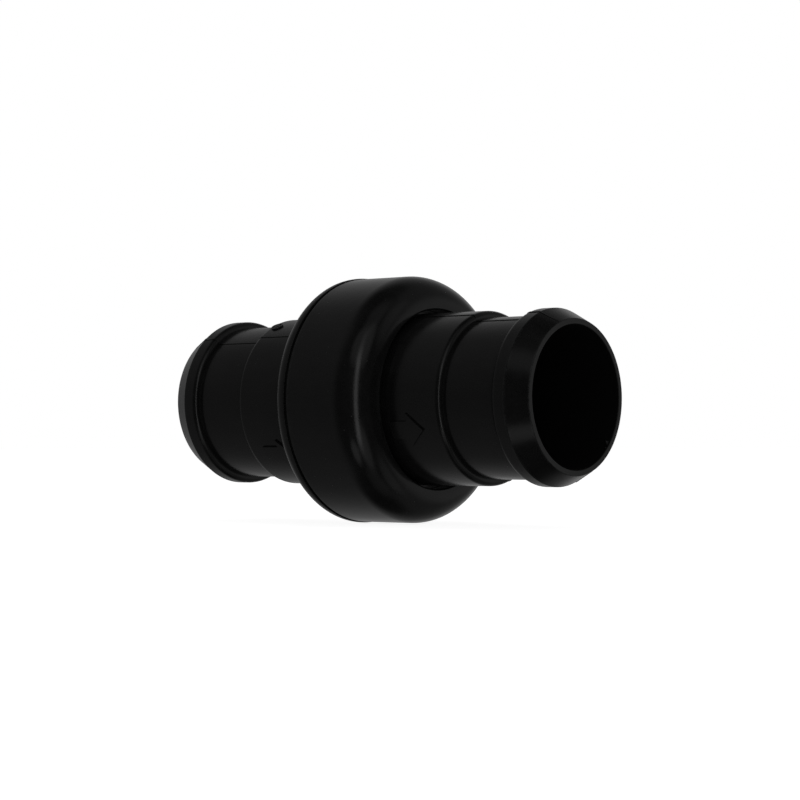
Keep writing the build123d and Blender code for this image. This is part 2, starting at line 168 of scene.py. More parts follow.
def pen(name: str, path: Sequence[Vector]) -> bpy.types.Object:
    """Draws a chain of edges through the given points, in millimetres.

    Args:
        name: name of the new object.
        path: points in order.
    Returns:
        The object, left in edit mode with its last point selected.
    """
    clear()
    bpy.ops.mesh.primitive_plane_add(size=MM)
    piece = bpy.context.object
    piece.name = piece.data.name = name
    bpy.ops.object.mode_set(mode="EDIT")
    bpy.ops.mesh.select_all(action="SELECT")
    bpy.ops.mesh.merge(type="CENTER")
    bpy.ops.transform.translate(value=path[0] * MM)
    for here, there in zip(path, path[1:]):
        bpy.ops.mesh.extrude_vertices_move(TRANSFORM_OT_translate={"value": (there - here) * MM})
    return piece


def close_doubles() -> None:
    """Merges points that fall together and turns all faces outwards, in edit mode."""
    bpy.ops.mesh.select_all(action="SELECT")
    bpy.ops.mesh.remove_doubles(threshold=MM * 0.002)
    bpy.ops.mesh.normals_make_consistent(inside=False)


def arc(x: float, r: float, size: float, start: float, end: float, steps: int) -> List[Corner]:
    """Points of an arc in the turned outline.

    Args:
        x: X of the arc's centre.
        r: radius at which the centre lies.
        size: radius of the arc itself.
        start: first angle in degrees, 0 along +X and 90 outwards.
        end: last angle in degrees.
        steps: number of steps between them.
    Returns:
        The points, first and last included.
    """
    made = []
    for index in range(steps + 1):
        angle = math.radians(start + (end - start) * index / steps)
        made.append(Corner(x + size * math.cos(angle), r + size * math.sin(angle)))
    return made


def softened(corners: Sequence[Corner], steps: int = 5, spacing: float = 1.1) -> List[Vector]:
    """Rounds the corners of a closed outline and spreads points along its straight runs.

    Args:
        corners: the outline's corners in order.
        steps: steps in each rounded corner.
        spacing: greatest distance between points on a run.
    Returns:
        The closed chain of points in the XZ plane, the first one repeated at the end.
    """
    chain: List[Vector] = []
    count = len(corners)
    for index, corner in enumerate(corners):
        here = Vector((corner.x, corner.r))
        if corner.round <= 0:
            chain.append(here)
            continue
        before = corners[index - 1]
        after = corners[(index + 1) % count]
        back = (Vector((before.x, before.r)) - here).normalized()
        ahead = (Vector((after.x, after.r)) - here).normalized()
        half = back.angle(ahead) / 2
        inward = (back + ahead).normalized()
        centre = here + inward * (corner.round / math.sin(half))
        first = here + back * (corner.round / math.tan(half))
        last = here + ahead * (corner.round / math.tan(half))
        bends = max(steps, math.ceil(corner.round / 0.09))
        for step in range(bends + 1):
            spoke = (first - centre).slerp(last - centre, step / bends)
            chain.append(centre + spoke.normalized() * corner.round)
    spread: List[Vector] = []
    for here, there in zip(chain, chain[1:] + chain[:1]):
        spread.append(here)
        run = (there - here).length
        guard = min(0.14, run / 4)
        stops = [guard]
        pieces = max(1, math.ceil(run / spacing))
        stops += [run * index / pieces for index in range(1, pieces)]
        stops.append(run - guard)
        if run > 0.4:
            for stop in sorted(stops):
                spread.append(here + (there - here) * (stop / run))
    spread.append(spread[0])
    return [Vector((point.x, 0.0, point.y)) for point in spread]


def turned(name: str, corners: Sequence[Corner], steps: int = 200) -> bpy.types.Object:
    """Spins a closed outline about the flow axis into a solid.

    Args:
        name: name of the new piece.
        corners: the outline's corners, in millimetres.
        steps: steps round the full turn.
    Returns:
        The piece, in object mode.
    """
    piece = pen(name, softened(corners))
    bpy.ops.mesh.select_all(action="SELECT")
    bpy.ops.mesh.remove_doubles(threshold=MM * 0.002)
    bpy.ops.mesh.spin(steps=steps, angle=TURN, center=(0, 0, 0), axis=(1, 0, 0))
    close_doubles()
    clear()
    return piece


def worked(piece: bpy.types.Object, tool: bpy.types.Object, cut: Cut) -> bpy.types.Object:
    """Applies an exact Boolean of a tool to a piece and removes the tool.

    Args:
        piece: the solid that stays.
        tool: the solid that works on it.
        cut: what the tool does.
    Returns:
        The piece.
    Raises:
        RuntimeError: a union came back without the body of the piece.
    """
    choose(piece)
    before = len(piece.data.vertices)
    modifier = piece.modifiers.new("work", "BOOLEAN")
    modifier.operation = cut.value
    modifier.solver = "EXACT"
    modifier.object = tool
    bpy.ops.object.modifier_apply(modifier=modifier.name)
    if cut is Cut.JOIN and len(piece.data.vertices) < before // 2:
        raise RuntimeError(f"the union with {tool.name} lost the body of {piece.name}")
    bpy.data.meshes.remove(tool.data)
    return piece


def together(pieces: Sequence[bpy.types.Object]) -> bpy.types.Object:
    """Joins several separate solids into one object and returns it."""
    clear()
    for piece in pieces:
        piece.select_set(True)
    bpy.context.view_layer.objects.active = pieces[0]
    bpy.ops.object.join()
    return pieces[0]


def turn_about_flow(piece: bpy.types.Object, degrees: float) -> None:
    """Turns a piece about the flow axis: 0 keeps it at the top, 90 brings it to -Y.

    Args:
        piece: the object, whose mesh is turned.
        degrees: how far it goes from the top towards the near side.
    """
    choose(piece)
    piece.data.transform(Matrix.Rotation(math.radians(degrees), 4, "X"))


def smooth(piece: bpy.types.Object, degrees: float = 32.0) -> None:
    """Smooths a finished piece, with its large faces leading the shading."""
    choose(piece)
    bpy.ops.object.shade_smooth_by_angle(angle=math.radians(degrees), keep_sharp_edges=False)
    modifier = piece.modifiers.new("weights", "WEIGHTED_NORMAL")
    modifier.keep_sharp = True
    bpy.ops.object.modifier_apply(modifier=modifier.name)


def slab(name: str, outline: Sequence[Vector], push: Vector) -> bpy.types.Object:
    """Fills a flat outline and extrudes it into a solid.

    Args:
        name: name of the new object.
        outline: corners in order, in millimetres.
        push: the way and distance it is extruded.
    Returns:
        The solid, in object mode.
    """
    piece = pen(name, list(outline) + [outline[0]])
    bpy.ops.mesh.select_all(action="SELECT")
    bpy.ops.mesh.remove_doubles(threshold=MM * 0.002)
    bpy.ops.mesh.edge_face_add()
    bpy.ops.mesh.extrude_region_move(TRANSFORM_OT_translate={"value": push * MM})
    close_doubles()
    clear()
    return piece


@dataclass(frozen=True)
class FlowArrow:
    """Raised arrow on a tube, pointing along the flow."""

    start: float
    degrees: float
    tube: float
    rise: float = 0.25
    length: float = 5.3
    head: float = 2.5
    shaft: float = 2.4
    span: float = 4.5
    root: float = 0.35

    def build(self) -> bpy.types.Object:
        """Models the arrow as a solid that follows the tube's curve."""
        neck = self.start + self.length - self.head
        tip = self.start + self.length
        low = self.tube - self.root
        shape = [
            (self.start, -self.shaft / 2),
            (neck, -self.shaft / 2),
            (neck, -self.span / 2),
            (tip, 0.0),
            (neck, self.span / 2),
            (neck, self.shaft / 2),
            (self.start, self.shaft / 2),
        ]
        outline = [Vector((x, y, low - 0.3)) for x, y in shape]
        piece = slab("arrow", outline, Vector((0, 0, 1.5)))
        skin = turned(
            "skin",
            [
                Corner(self.start - 1, low),
                Corner(tip + 1, low),
                Corner(tip + 1, self.tube + self.rise),
                Corner(self.start - 1, self.tube + self.rise),
            ],
        )
        piece = worked(piece, skin, Cut.KEEP)
        turn_about_flow(piece, 90 - self.degrees)
        return piece


@dataclass(frozen=True)
class MouldLine:
    """Fine ridge that two mould halves leave along a turned outline."""

    outline: Sequence[Point]
    degrees: float
    rise: float = 0.06
    width: float = 0.16
    root: float = 0.3

    def build(self) -> bpy.types.Object:
        """Models the ridge and its twin on the far side."""
        top = [Vector((x, -self.width / 2, r + self.rise)) for x, r in self.outline]
        foot = [Vector((x, -self.width / 2, r - self.root)) for x, r in reversed(self.outline)]
        ridge = slab("ridge", top + foot, Vector((0, self.width, 0)))
        near = 90 - self.degrees
        turn_about_flow(ridge, near)
        twin = ridge.copy()
        twin.data = ridge.data.copy()
        bpy.context.scene.collection.objects.link(twin)
        turn_about_flow(twin, 180)
        return together([ridge, twin])


# ------------------------------------------------------------------ shader arithmetic


class Wire:
    """A value on its way through a shader, with ordinary arithmetic."""

    def __init__(self, board: "Board", socket: bpy.types.NodeSocket) -> None:
        """Wraps an output socket of one of the board's nodes."""
        self.board = board
        self.socket = socket

    def __add__(self, other: Number) -> "Wire":
        """This plus other."""
        return self.board.math("ADD", self, other)

    def __radd__(self, other: Number) -> "Wire":
        """Other plus this."""
        return self.board.math("ADD", other, self)

    def __sub__(self, other: Number) -> "Wire":
        """This minus other."""
        return self.board.math("SUBTRACT", self, other)

    def __rsub__(self, other: Number) -> "Wire":
        """Other minus this."""
        return self.board.math("SUBTRACT", other, self)

    def __mul__(self, other: Number) -> "Wire":
        """This times other."""
        return self.board.math("MULTIPLY", self, other)

    def __rmul__(self, other: Number) -> "Wire":
        """Other times this."""
        return self.board.math("MULTIPLY", other, self)

    def __truediv__(self, other: Number) -> "Wire":
        """This over other."""
        return self.board.math("DIVIDE", self, other)

    def __rtruediv__(self, other: Number) -> "Wire":
        """Other over this."""
        return self.board.math("DIVIDE", other, self)

    def __pow__(self, other: Number) -> "Wire":
        """This to the power of other."""
        return self.board.math("POWER", self, other)

    def size(self) -> "Wire":
        """The value without its sign."""
        return self.board.math("ABSOLUTE", self)

    def least(self, other: Number) -> "Wire":
        """The smaller of this and other."""
        return self.board.math("MINIMUM", self, other)


class Board:
    """A node tree that is being filled in."""

    def __init__(self, tree: bpy.types.NodeTree) -> None:
        """Empties the tree and keeps it."""
        self.tree = tree
        tree.nodes.clear()

    def node(
        self,
        kind: str,
        settings: Optional[Dict[str, object]] = None,
        inputs: Optional[Dict[Union[int, str], object]] = None,
    ) -> bpy.types.Node:
        """Adds one node.

        Args:
            kind: its type, such as ShaderNodeMath.
            settings: properties to set first; "stops" fills a colour ramp.
            inputs: values or wires by socket name or number.
        Returns:
            The node.
        """
        made = self.tree.nodes.new(kind)
        for key, value in (settings or {}).items():
            if key == "stops":
                ramp = made.color_ramp.elements
                while len(ramp) < len(value):
                    ramp.new(0.5)
                for stop, (place, level) in zip(ramp, value):
                    stop.position = place
                    stop.color = (level, level, level, 1.0)
            else:
                setattr(made, key, value)
        for key, value in (inputs or {}).items():
            if isinstance(value, Wire):
                self.tree.links.new(value.socket, made.inputs[key])
            else:
                made.inputs[key].default_value = value
        return made

    def out(self, node: bpy.types.Node, name: Union[int, str] = 0) -> Wire:
        """Wraps one output of a node."""
        return Wire(self, node.outputs[name])

    def math(self, operation: str, *values: Number) -> Wire:
        """One Math node on the given values."""
        numbered = dict(enumerate(values))
        return self.out(self.node("ShaderNodeMath", {"operation": operation}, numbered))

    def ease(self, value: Wire, low: float, high: float) -> Wire:
        """Rises smoothly from 0 at low to 1 at high."""
        node = self.node(
            "ShaderNodeMapRange",
            {"interpolation_type": "SMOOTHSTEP"},
            {"Value": value, "From Min": low, "From Max": high},
        )
        return self.out(node, "Result")

    def place(self, stretch: Point = (1.0, 1.0)) -> Wire:
        """Object coordinates in millimetres, stretched along and across the flow."""
        where = self.out(self.node("ShaderNodeTexCoord"), "Object")
        scale = (stretch[0] / MM, stretch[1] / MM, stretch[1] / MM)
        return self.out(self.node("ShaderNodeMapping", {}, {"Vector": where, "Scale": scale}))

    def along_and_out(self) -> Tuple[Wire, Wire, Wire]:
        """X, radius and the angle round the flow axis, from the top, in radians."""
        parts = self.node("ShaderNodeSeparateXYZ", {}, {0: self.place()})
        y = self.out(parts, "Y")
        z = self.out(parts, "Z")
        radius = (y * y + z * z) ** 0.5
        return self.out(parts, "X"), radius, self.math("ARCTAN2", y, z)

    def noise(self, where: Wire, scale: float, detail: float = 2.0, rough: float = 0.5) -> Wire:
        """Cloudy pattern from 0 to 1, with scale in features per millimetre."""
        node = self.node(
            "ShaderNodeTexNoise",
            {},
            {"Vector": where, "Scale": scale, "Detail": detail, "Roughness": rough},
        )
        return self.out(node, 0)

    def specks(self, where: Wire, scale: float, size: float, share: float) -> Wire:
        """Sparse round specks.

        Args:
            where: coordinates in millimetres.
            scale: cells per millimetre.
            size: speck radius as a share of a cell.
            share: share of the cells that hold one.
        Returns:
            1 in a speck and 0 elsewhere.
        """
        cells = self.node("ShaderNodeTexVoronoi", {}, {"Vector": where, "Scale": scale})
        pick = self.node("ShaderNodeSeparateColor", {}, {0: self.out(cells, "Color")})
        chosen = self.math("LESS_THAN", self.out(pick, 0), share)
        return (1.0 - self.ease(self.out(cells, "Distance"), size * 0.5, size)) * chosen

    def tint(self, factor: Wire, dark: Sequence[float], light: Sequence[float]) -> Wire:
        """Colour that runs from dark to light with the factor."""
        node = self.node(
            "ShaderNodeMix",
            {"data_type": "RGBA"},
            {"Factor": factor, 6: (*dark, 1.0), 7: (*light, 1.0)},
        )
        return self.out(node, 2)

    def relief(self, height: Wire, depth: float, under: Optional[Wire] = None) -> Wire:
        """Bump of the given depth in millimetres, on top of another one."""
        inputs: Dict[Union[int, str], object] = {"Height": height, "Distance": depth * MM}
        if under is not None:
            inputs["Normal"] = under
        return self.out(self.node("ShaderNodeBump", {}, inputs), "Normal")


# ------------------------------------------------------------------ finishes


@dataclass(frozen=True)
class Finish:
    """A surface finish; each kind fills in its own board."""

    name: str

    def material(self) -> bpy.types.Material:
        """Makes the material."""
        made = bpy.data.materials.new(self.name)
        made.use_nodes = True
        board = Board(made.node_tree)
        shader = board.node("ShaderNodeBsdfPrincipled")
        end = board.node("ShaderNodeOutputMaterial")
        board.tree.links.new(shader.outputs["BSDF"], end.inputs["Surface"])
        self.fill(board, shader)
        return made

    def set(self, board: Board, shader: bpy.types.Node, **inputs: object) -> None:
        """Sets or links sockets of the main shader; words are joined by underscores."""
        for key, value in inputs.items():
            socket = shader.inputs[key.replace("_", " ")]
            if isinstance(value, Wire):
                board.tree.links.new(value.socket, socket)
            else:
                socket.default_value = value

    def fill(self, board: Board, shader: bpy.types.Node) -> None:
        """Fills in the board; every finish has its own."""
        raise NotImplementedError


@dataclass(frozen=True)
class MouldedBlack(Finish):
    """Satin black moulded plastic with flow clouding, fine skin, specks, lighter edges that are
    partly real wear and partly a painted highlight, and painted shade that darkens the bore.
    """

    edges: Sequence[Point] = field(default_factory=tuple)
    dark: float = 0.0105
    light: float = 0.0165
    gloss: float = 0.2
    skin: float = 0.0035
    swell: float = 0.008
    # radius of the bore; inside it the colour is painted near-black, as painted shade in the bore
    bore: float = 0.0
    parting: Optional[float] = None

    def edge_wear_and_highlight(self, board: Board) -> Wire:
        """1 on the listed edges, fading over a third of a millimetre; their lighter colour is partly
        real wear and partly a painted highlight.
        """
        x, radius, _ = board.along_and_out()
        nearest: Number = 9.0
        for edge_x, edge_r in self.edges:
            across = x - edge_x
            up = radius - edge_r
            away = (across * across + up * up) ** 0.5
            nearest = away if nearest == 9.0 else nearest.least(away)
        patchy = board.noise(board.place(), 1.1, 3.0, 0.6)
        return (1.0 - board.ease(nearest, 0.05, 0.34)) * board.ease(patchy, 0.34, 0.62)

    def upper_half(self, board: Board, around: Wire) -> Number:
        """1 on the side of the mould line that came from the duller mould half."""
        if self.parting is None:
            return 0.0
        turned_by = math.radians(self.parting - 90)
        side = board.math("SINE", around - turned_by)
        return board.ease(side, -0.008, 0.008)

    def fill(self, board: Board, shader: bpy.types.Node) -> None:
        """Fills in the board."""
        where = board.place()
        drawn = board.place((0.22, 1.0))
        cloud = board.noise(where, 0.16, 4.0, 0.55)
        streak = board.noise(drawn, 0.9, 3.0, 0.6)
        skin = board.noise(where, 7.5, 2.0, 0.55)
        swell = board.noise(where, 0.75, 2.0, 0.5)
        speck = board.specks(where, 0.9, 0.11, 0.22)
        dust = board.specks(where, 2.1, 0.07, 0.16)
        scuff = board.ease(board.noise(board.place((0.12, 3.0)), 1.6, 4.0, 0.7), 0.64, 0.74)
        # edges: lighter colour and lower roughness, partly real wear and partly a painted highlight
        # along the edges
        wear_and_sheen = self.edge_wear_and_highlight(board) if self.edges else 0.0
        _, radius, around = board.along_and_out()
        # painted shade: within the bore the colour is painted near-black, the marks are left out and
        # the roughness raised
        inside = 1.0 - board.ease(radius, self.bore + 0.03, self.bore + 0.18)
        half = self.upper_half(board, around)
        tone = cloud * 0.55 + streak * 0.45
        base = board.tint(board.ease(tone, 0.3, 0.7), (self.dark,) * 3, (self.light,) * 3)
        # lighter marks: specks, dust and scuffs are real; the edge part is partly a painted
        # highlight
        marks = speck * 0.5 + dust * 0.6 + scuff * 0.1 + wear_and_sheen * 0.25 + half * 0.12
        marks = (marks * (1.0 - inside)).least(1.0)
        colour = board.tint(marks, (0, 0, 0), (0.05, 0.05, 0.052))
        total = board.node(
            "ShaderNodeMix",
            {"data_type": "RGBA", "blend_type": "ADD"},
            {"Factor": 1.0, 6: base, 7: colour},
        )
        # painted shade: inside the bore the colour is swapped for near-black
        shown = board.node(
            "ShaderNodeMix",
            {"data_type": "RGBA"},
            {"Factor": inside, 6: board.out(total, 2), 7: (0.002, 0.002, 0.002, 1.0)},
        )
        rough = self.gloss + (cloud - 0.5) * 0.10 + (streak - 0.5) * 0.07 + (skin - 0.5) * 0.05
        rough = rough + scuff * 0.08 + speck * 0.12 - wear_and_sheen * 0.04 + half * 0.04 + inside * 0.4
        fine = board.relief(skin, self.skin)
        waved = board.relief(swell, self.swell, fine)
        spotted = board.relief(speck + dust * 0.6, 0.02, waved)
        self.set(board, shader, Base_Color=board.out(shown, 2), Roughness=rough, Normal=spotted)
        self.set(board, shader, Specular_IOR_Level=0.46)


@dataclass(frozen=True)
class Acetal(Finish):
    """Hard off-white machined or moulded plastic with faint turning rings and wear."""

    def fill(self, board: Board, shader: bpy.types.Node) -> None:
        """Fills in the board."""
        where = board.place()
        x, radius, _ = board.along_and_out()
        rings = board.math("SINE", (radius + x) * 26.0) * 0.5 + 0.5
        cloud = board.noise(where, 0.35, 4.0, 0.6)
        stain = board.ease(board.noise(where, 0.9, 4.0, 0.65), 0.5, 0.75)
        base = board.tint(cloud * 0.6 + stain * 0.4, (0.70, 0.69, 0.64), (0.52, 0.50, 0.44))
        rough = 0.36 + (cloud - 0.5) * 0.14 + rings * 0.05
        normal = board.relief(rings, 0.004, board.relief(board.noise(where, 6.0), 0.004))
        self.set(board, shader, Base_Color=base, Roughness=rough, Normal=normal)
        self.set(board, shader, Specular_IOR_Level=0.45)


@dataclass(frozen=True)
class Rubber(Finish):
    """Soft moulded rubber with a bloom and a fine grain."""

    dark: Sequence[float] = (0.012, 0.012, 0.013)
    light: Sequence[float] = (0.030, 0.030, 0.031)

    def fill(self, board: Board, shader: bpy.types.Node) -> None:
        """Fills in the board."""
        where = board.place()
        bloom = board.ease(board.noise(where, 0.6, 4.0, 0.6), 0.35, 0.75)
        grain = board.noise(where, 9.0, 3.0, 0.6)
        base = board.tint(bloom * 0.7 + grain * 0.3, self.dark, self.light)
        rough = 0.55 + (bloom - 0.5) * 0.2 + (grain - 0.5) * 0.1
        self.set(board, shader, Base_Color=base, Roughness=rough)
        self.set(board, shader, Normal=board.relief(grain, 0.006))


@dataclass(frozen=True)
class Stainless(Finish):
    """Bright stainless steel, polished or drawn, with fine lines and water marks."""

    rough: float = 0.2
    lines: float = 0.5
    stretch: Point = (1.0, 1.0)

    def fill(self, board: Board, shader: bpy.types.Node) -> None:
        """Fills in the board."""
        where = board.place()
        line = board.noise(board.place(self.stretch), 8.0, 3.0, 0.6)
        water = board.ease(board.noise(where, 0.8, 3.0, 0.6), 0.5, 0.62)
        pit = board.specks(where, 3.0, 0.1, 0.12)
        base = board.tint(water * 0.3 + line * 0.4, (0.60, 0.59, 0.58), (0.45, 0.45, 0.44))
        rough = self.rough + (line - 0.5) * 0.2 * self.lines + water * 0.08 + pit * 0.2
        normal = board.relief(line * self.lines - pit * 0.5, 0.004)
        self.set(board, shader, Base_Color=base, Roughness=rough, Metallic=1.0, Normal=normal)


# ------------------------------------------------------------------ sub-assemblies


def dress(piece: bpy.types.Object, material: bpy.types.Material) -> None:
    """Gives a piece one material for all its faces."""
    piece.data.materials.clear()
    piece.data.materials.append(material)
    for polygon in piece.data.polygons:
        polygon.material_index = 0


def settle(piece: bpy.types.Object, body: str, slot: str, *nodes: str) -> None:
    """Lets a finished piece ride a body and stand for frame nodes.

    Args:
        piece: the finished piece.
        body: the body that it moves with.
        slot: the record's material slot; not used.
        nodes: the frame nodes that it stands for.
    """
    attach(piece, body)
    if nodes:
        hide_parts(*nodes)
    log.info("%s rides on %s with %d faces", piece.name, body, len(piece.data.polygons))


def tail_corners(tail: HoseTail) -> List[Corner]:
    """Outside of the outlet's hose tail, from the step to the bore's mouth."""
    return [
        Corner(tail.step, tail.barb, tail.step_round),
        Corner(tail.step, tail.neck),
        Corner(tail.neck_end, tail.neck),
        Corner(tail.neck_end, tail.barb, tail.step_round),
        Corner(tail.neck_end + tail.land, tail.barb, tail.barb_round),
        Corner(tail.end, tail.face, tail.face_round),
        Corner(tail.end, tail.bore, tail.face_round),
    ]


def steps_down(tail: HoseTail, side: float) -> List[Point]:
    """Points that follow the rounded steps either side of the neck.

    Args:
        tail: the hose tail's sizes.
        side: 1 on the outlet and -1 on the inlet.
    Returns:
        (x, radius) places from the barb to the tube.
    """
    size = tail.step_round
    places: List[Point] = []
    for centre, reach in ((tail.neck_end + size, -1), (tail.step - size, 1)):
        bend = []
        for index in range(7):
            angle = math.radians(15 * index)
            over = reach * size * math.sin(angle)
            bend.append((side * (centre + over), tail.barb - size + size * math.cos(angle)))
        bend.append((side * (centre + reach * size), tail.neck))
        places += bend if reach < 0 else bend[::-1]
    return places


def flipped(corners: Sequence[Corner]) -> List[Corner]:
    """The same corners on the inlet side, in the opposite order."""
    return [Corner(-corner.x, corner.r, corner.round) for corner in reversed(corners)]


@dataclass
class InletTail:
    """Fixed hose tail with its flange and the chamber that holds the valve."""

    tail: HoseTail
    flange: float = radius_of("inlet_tail")
    joint: float = reach_of("housing_cup")[0] - 0.02
    flange_t: float = 2.8
    bead: float = 2.2
    groove: Point = (0.34, 0.4)
    spigot: float = radius_of("race_ring")
    spigot_end: float = reach_of("inlet_tail")[1]
    recess: float = radius_of("guide_cage") + 0.05
    recess_t: float = 1.2
    chamber: float = radius_of("seat_ring") + 0.05
    shoulder: float = reach_of("seat_ring")[0] - 0.02
    parting: float = 50.0
    arrow: float = -39.0
    gate: float = 63.0
    notch: float = 47.5

    def outline(self) -> List[Corner]:
        """Closed outline of the turned shape."""
        back = self.joint - self.flange_t
        seal_x, floor = self.spigot_end - 0.94, self.spigot - 0.98
        return flipped(tail_corners(self.tail)) + [
            Corner(back, self.tail.barb, 0.35),
            Corner(back, self.flange, self.bead),
            Corner(self.joint - self.groove[0], self.flange, 0.05),
            Corner(self.joint - self.groove[0], self.flange - self.groove[1]),
            Corner(self.joint, self.flange - self.groove[1]),
            Corner(self.joint, self.spigot),
            Corner(seal_x - 0.61, self.spigot),
            Corner(seal_x - 0.61, floor),
            Corner(seal_x + 0.61, floor),
            Corner(seal_x + 0.61, self.spigot),
            Corner(self.spigot_end, self.spigot),
            Corner(self.spigot_end, self.recess),
            Corner(self.spigot_end - self.recess_t, self.recess),
            Corner(self.spigot_end - self.recess_t, self.chamber),
            Corner(self.shoulder, self.chamber),
            Corner(self.shoulder, self.tail.bore, 0.15),
        ]

    def mould_line(self) -> MouldLine:
        """Ridge along the barb, neck and tube."""
        tail = self.tail
        outline = [
            (-tail.end + 0.12, tail.face + 0.01),
            (-tail.neck_end - tail.land, tail.barb),
            *steps_down(tail, -1.0),
            (self.joint - self.flange_t + 0.2, tail.barb),
        ]
        return MouldLine(outline, self.parting, rise=0.07, width=0.24)

    def gate_scar(self) -> bpy.types.Object:
        """Torn-off gate: a low stub with a hollow, uneven top."""
        x = -self.tail.step + 1.6
        clear()
        bpy.ops.mesh.primitive_cylinder_add(
            vertices=28, radius=0.85 * MM, depth=0.8 * MM,
            location=(x * MM, 0, (self.tail.barb - 0.2) * MM),
        )
        stub = bpy.context.object
        bpy.ops.object.transform_apply(location=True, rotation=True, scale=True)
        bpy.ops.object.mode_set(mode="EDIT")
        bpy.ops.mesh.select_mode(type="FACE")
        bpy.ops.mesh.select_all(action="DESELECT")
        bpy.ops.object.mode_set(mode="OBJECT")
        for face in stub.data.polygons:
            face.select = face.normal.z > 0.9
        bpy.ops.object.mode_set(mode="EDIT")
        bpy.ops.mesh.inset(thickness=0.16 * MM)
        bpy.ops.mesh.inset(thickness=0.1 * MM)
        bpy.ops.transform.translate(value=(0.03 * MM, 0, -0.16 * MM))
        bpy.ops.mesh.inset(thickness=0.22 * MM)
        bpy.ops.transform.translate(value=(-0.05 * MM, 0.04 * MM, 0.14 * MM))
        bpy.ops.mesh.select_mode(type="VERT")
        clear()
        turn_about_flow(stub, 90 - self.gate)
        return stub

    def rim_notch(self) -> bpy.types.Object:
        """Small wedge that nicks the flange's rim at the parting line."""
        inset = self.bead * (1 - math.sqrt(0.5))
        x = self.joint - self.flange_t + inset - 0.25
        crest = self.flange - inset
        outline = [
            Vector((x, 0.0, crest - 0.3)),
            Vector((x, 0.3, crest + 0.5)),
            Vector((x, -0.2, crest + 0.5)),
        ]
        wedge = slab("notch", outline, Vector((0.5, 0, 0)))
        turn_about_flow(wedge, 90 - self.notch)
        return wedge

    def build(self, material: bpy.types.Material) -> bpy.types.Object:
        """Models and dresses the inlet tail."""
        piece = turned("inlet_tail_moulding", self.outline())
        start = -reach_of("housing_cup")[1] - ARROW_GAP - FlowArrow.length
        extras = [
            FlowArrow(start, self.arrow, self.tail.barb).build(),
            self.mould_line().build(),
            self.gate_scar(),
        ]
        for extra in extras:
            piece = worked(piece, extra, Cut.JOIN)
        piece = worked(piece, self.rim_notch(), Cut.TAKE)
        smooth(piece)
        dress(piece, material)
        settle(piece, "housing", "black_nylon", "inlet_tail")
        return piece


@dataclass
class OutletTail:
    """Turning hose tail with its collar, inner race and seal spigot."""

    tail: HoseTail
    back: float = reach_of("outlet_tail")[0]
    collar: float = radius_of("thrust_washer")
    ball_x: float = sum(reach_of("race_balls")) / 2
    ball_r: float = (reach_of("race_balls")[1] - reach_of("race_balls")[0]) / 2
    parting: float = 70.0
    arrow: float = -21.0
    burr: float = -141.0

    def outline(self) -> List[Corner]:
        """Closed outline of the turned shape, with the inner ball race."""
        groove, pitch = self.ball_r + 0.02, self.collar + 0.5
        half = math.degrees(math.asin(0.5 / groove))
        race = arc(self.ball_x, pitch, groove, 180 + half, 360 - half, 14)
        lip = groove * math.cos(math.radians(half)) + 0.37
        front = self.ball_x + lip
        spigot = self.tail.barb - 0.5
        return [
            Corner(front, self.tail.bore, 0.15),
            Corner(front, self.tail.bore + 0.3),
            Corner(self.back, self.tail.bore + 0.3, 0.1),
            Corner(self.back, spigot, 0.28),
            Corner(self.ball_x - lip, spigot),
            Corner(self.ball_x - lip, self.collar, 0.05),
            *race,
            Corner(front, self.collar, 0.05),
            Corner(front, self.tail.barb),
            *tail_corners(self.tail),
        ]

    def mould_line(self) -> MouldLine:
        """Ridge along the tube, neck and barb."""
        tail = self.tail
        outline = [
            (self.ball_x + 2.0, tail.barb),
            *reversed(steps_down(tail, 1.0)),
            (tail.neck_end + tail.land, tail.barb),
            (tail.end - 0.12, tail.face + 0.01),
        ]
        return MouldLine(outline, self.parting, rise=0.08, width=0.24)

    def flash(self) -> bpy.types.Object:
        """Curled flakes of flash left on the bore's edge."""
        flakes = []
        for degrees, width, height in ((self.burr, 0.95, 0.8), (self.burr + 5, 0.4, 0.3),
                                       (-104.0, 0.5, 0.16), (-96.0, 0.7, 0.12), (-86.0, 0.4, 0.14)):
            base = self.tail.bore + 0.2
            outline = [
                Vector((self.tail.end - 0.35, -width / 2, base)),
                Vector((self.tail.end - 0.35, width / 2, base)),
                Vector((self.tail.end - 0.30, width * 0.18, base - 0.2 - height)),
            ]
            flake = slab("flake", outline, Vector((0.16, 0.03, 0)))
            turn_about_flow(flake, 90 - degrees)
            flakes.append(flake)
        return together(flakes)

    def build(self, material: bpy.types.Material) -> bpy.types.Object:
        """Models and dresses the outlet tail."""
        piece = turned("outlet_tail_moulding", self.outline())
        start = reach_of("housing_cup")[1] + ARROW_GAP
        extras = [
            FlowArrow(start, self.arrow, self.tail.barb).build(),
            self.mould_line().build(),
            self.flash(),
        ]
        for extra in extras:
            piece = worked(piece, extra, Cut.JOIN)
        smooth(piece)
        dress(piece, material)
        settle(piece, "outlet", "black_nylon", "outlet_tail")
        return piece


